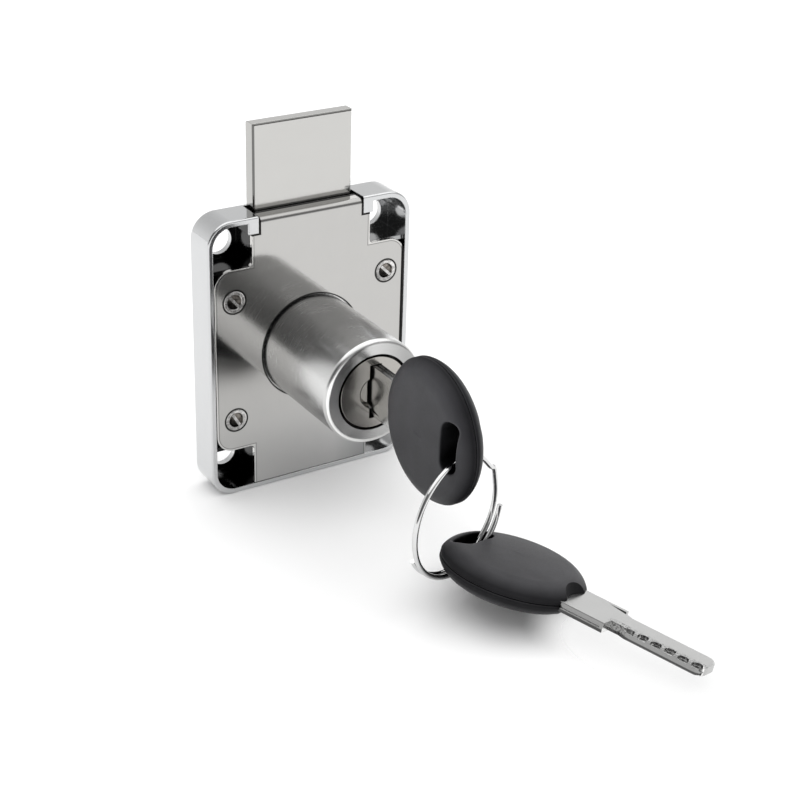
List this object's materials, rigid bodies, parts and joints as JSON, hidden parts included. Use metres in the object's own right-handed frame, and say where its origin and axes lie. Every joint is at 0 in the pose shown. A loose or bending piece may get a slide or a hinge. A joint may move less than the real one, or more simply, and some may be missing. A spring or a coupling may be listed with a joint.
{
  "type": "drawer lock",
  "caption": "Drawer lock with a round barrel, corner-fixed case and a square-ended bolt that a key drives by pinion and rack, with a spare key on a split ring.",
  "frame": {"origin": "centre of the barrel where it leaves the plane of the case's rim, which lies against the back of the drawer front", "axes": "-Y along the barrel to the key, +Z the way the bolt rises, +X to the right seen from the key side"},
  "size_m": [0.0422, 0.0952, 0.067],
  "materials": {
    "chromed_case": "polished",
    "satin_cover": "satin",
    "screw_steel": "satin",
    "satin_barrel": "turned satin",
    "plug_nickel": "satin nickel",
    "spring_steel": "plain",
    "pinion_brass": "plain",
    "bolt_steel": "satin",
    "wafer_brass": "stamped",
    "key_nickel": "bright nickel",
    "black_plastic": "matte",
    "ring_chrome": "polished wire"
  },
  "bodies": {
    "case_body": {"lock_case": "chromed_case", "cover_plate": "satin_cover", "cover_screws": "screw_steel", "barrel": "satin_barrel"},
    "plug_body": {"plug": "plug_nickel", "retaining_clip": "spring_steel", "pinion": "pinion_brass", "wafer_springs": "spring_steel"},
    "bolt_body": {"bolt": "bolt_steel"},
    "wafer_1_body": {"wafer_1": "wafer_brass"},
    "wafer_2_body": {"wafer_2": "wafer_brass"},
    "wafer_3_body": {"wafer_3": "wafer_brass"},
    "wafer_4_body": {"wafer_4": "wafer_brass"},
    "wafer_5_body": {"wafer_5": "wafer_brass"},
    "wafer_6_body": {"wafer_6": "wafer_brass"},
    "inserted_key_body": {"inserted_key_blade": "key_nickel", "inserted_key_head_upper": "black_plastic", "inserted_key_head_lower": "black_plastic"},
    "ring_body": {"split_ring": "ring_chrome"},
    "spare_key_body": {"spare_key_blade": "key_nickel", "spare_key_head_upper": "black_plastic", "spare_key_head_lower": "black_plastic"}
  },
  "joints": [
    {"name": "plug_turn", "type": "hinge", "parent": "case_body", "child": "plug_body", "pos_m": [0, 0, 0], "axis": [0, -1, 0], "range_deg": [0, 180]},
    {"name": "bolt_slide", "type": "slide", "parent": "case_body", "child": "bolt_body", "axis": [0, 0, -1], "range_m": [0, 0.01509]},
    {"name": "key_pull", "type": "slide", "parent": "plug_body", "child": "inserted_key_body", "axis": [0, -1, 0], "range_m": [0, 0.026], "deforming": ["wafer_springs"]},
    {"name": "wafer_1_slide", "type": "slide", "parent": "plug_body", "child": "wafer_1_body", "axis": [0, 0, 1], "range_m": [0, 0.00061]},
    {"name": "wafer_2_slide", "type": "slide", "parent": "plug_body", "child": "wafer_2_body", "axis": [0, 0, 1], "range_m": [0, 0.00061]},
    {"name": "wafer_3_slide", "type": "slide", "parent": "plug_body", "child": "wafer_3_body", "axis": [0, 0, 1], "range_m": [0, 0.00061]},
    {"name": "wafer_4_slide", "type": "slide", "parent": "plug_body", "child": "wafer_4_body", "axis": [0, 0, 1], "range_m": [0, 0.00061]},
    {"name": "wafer_5_slide", "type": "slide", "parent": "plug_body", "child": "wafer_5_body", "axis": [0, 0, 1], "range_m": [0, 0.00061]},
    {"name": "wafer_6_slide", "type": "slide", "parent": "plug_body", "child": "wafer_6_body", "axis": [0, 0, 1], "range_m": [0, 0.00061]},
    {"name": "ring_swing", "type": "hinge", "parent": "inserted_key_body", "child": "ring_body", "pos_m": [-0.00018, -0.048, -0.00038], "axis": [0.9677, 0.2521, 0], "range_deg": [-12, 12]},
    {"name": "spare_key_swing", "type": "hinge", "parent": "ring_body", "child": "spare_key_body", "pos_m": [0.00513, -0.04613, -0.01931], "axis": [0.815, 0.1984, 0.5445], "range_deg": [-4, 12]}
  ],
  "couplings": [
    {"joint": "bolt_slide", "follows": "plug_turn", "m_per_rad": 0.0048},
    {"joint": "wafer_1_slide", "follows": "key_pull", "ratio": 0.0231},
    {"joint": "wafer_2_slide", "follows": "key_pull", "ratio": 0.0231},
    {"joint": "wafer_3_slide", "follows": "key_pull", "ratio": 0.0231},
    {"joint": "wafer_4_slide", "follows": "key_pull", "ratio": 0.0231},
    {"joint": "wafer_5_slide", "follows": "key_pull", "ratio": 0.0231},
    {"joint": "wafer_6_slide", "follows": "key_pull", "ratio": 0.0231}
  ]
}
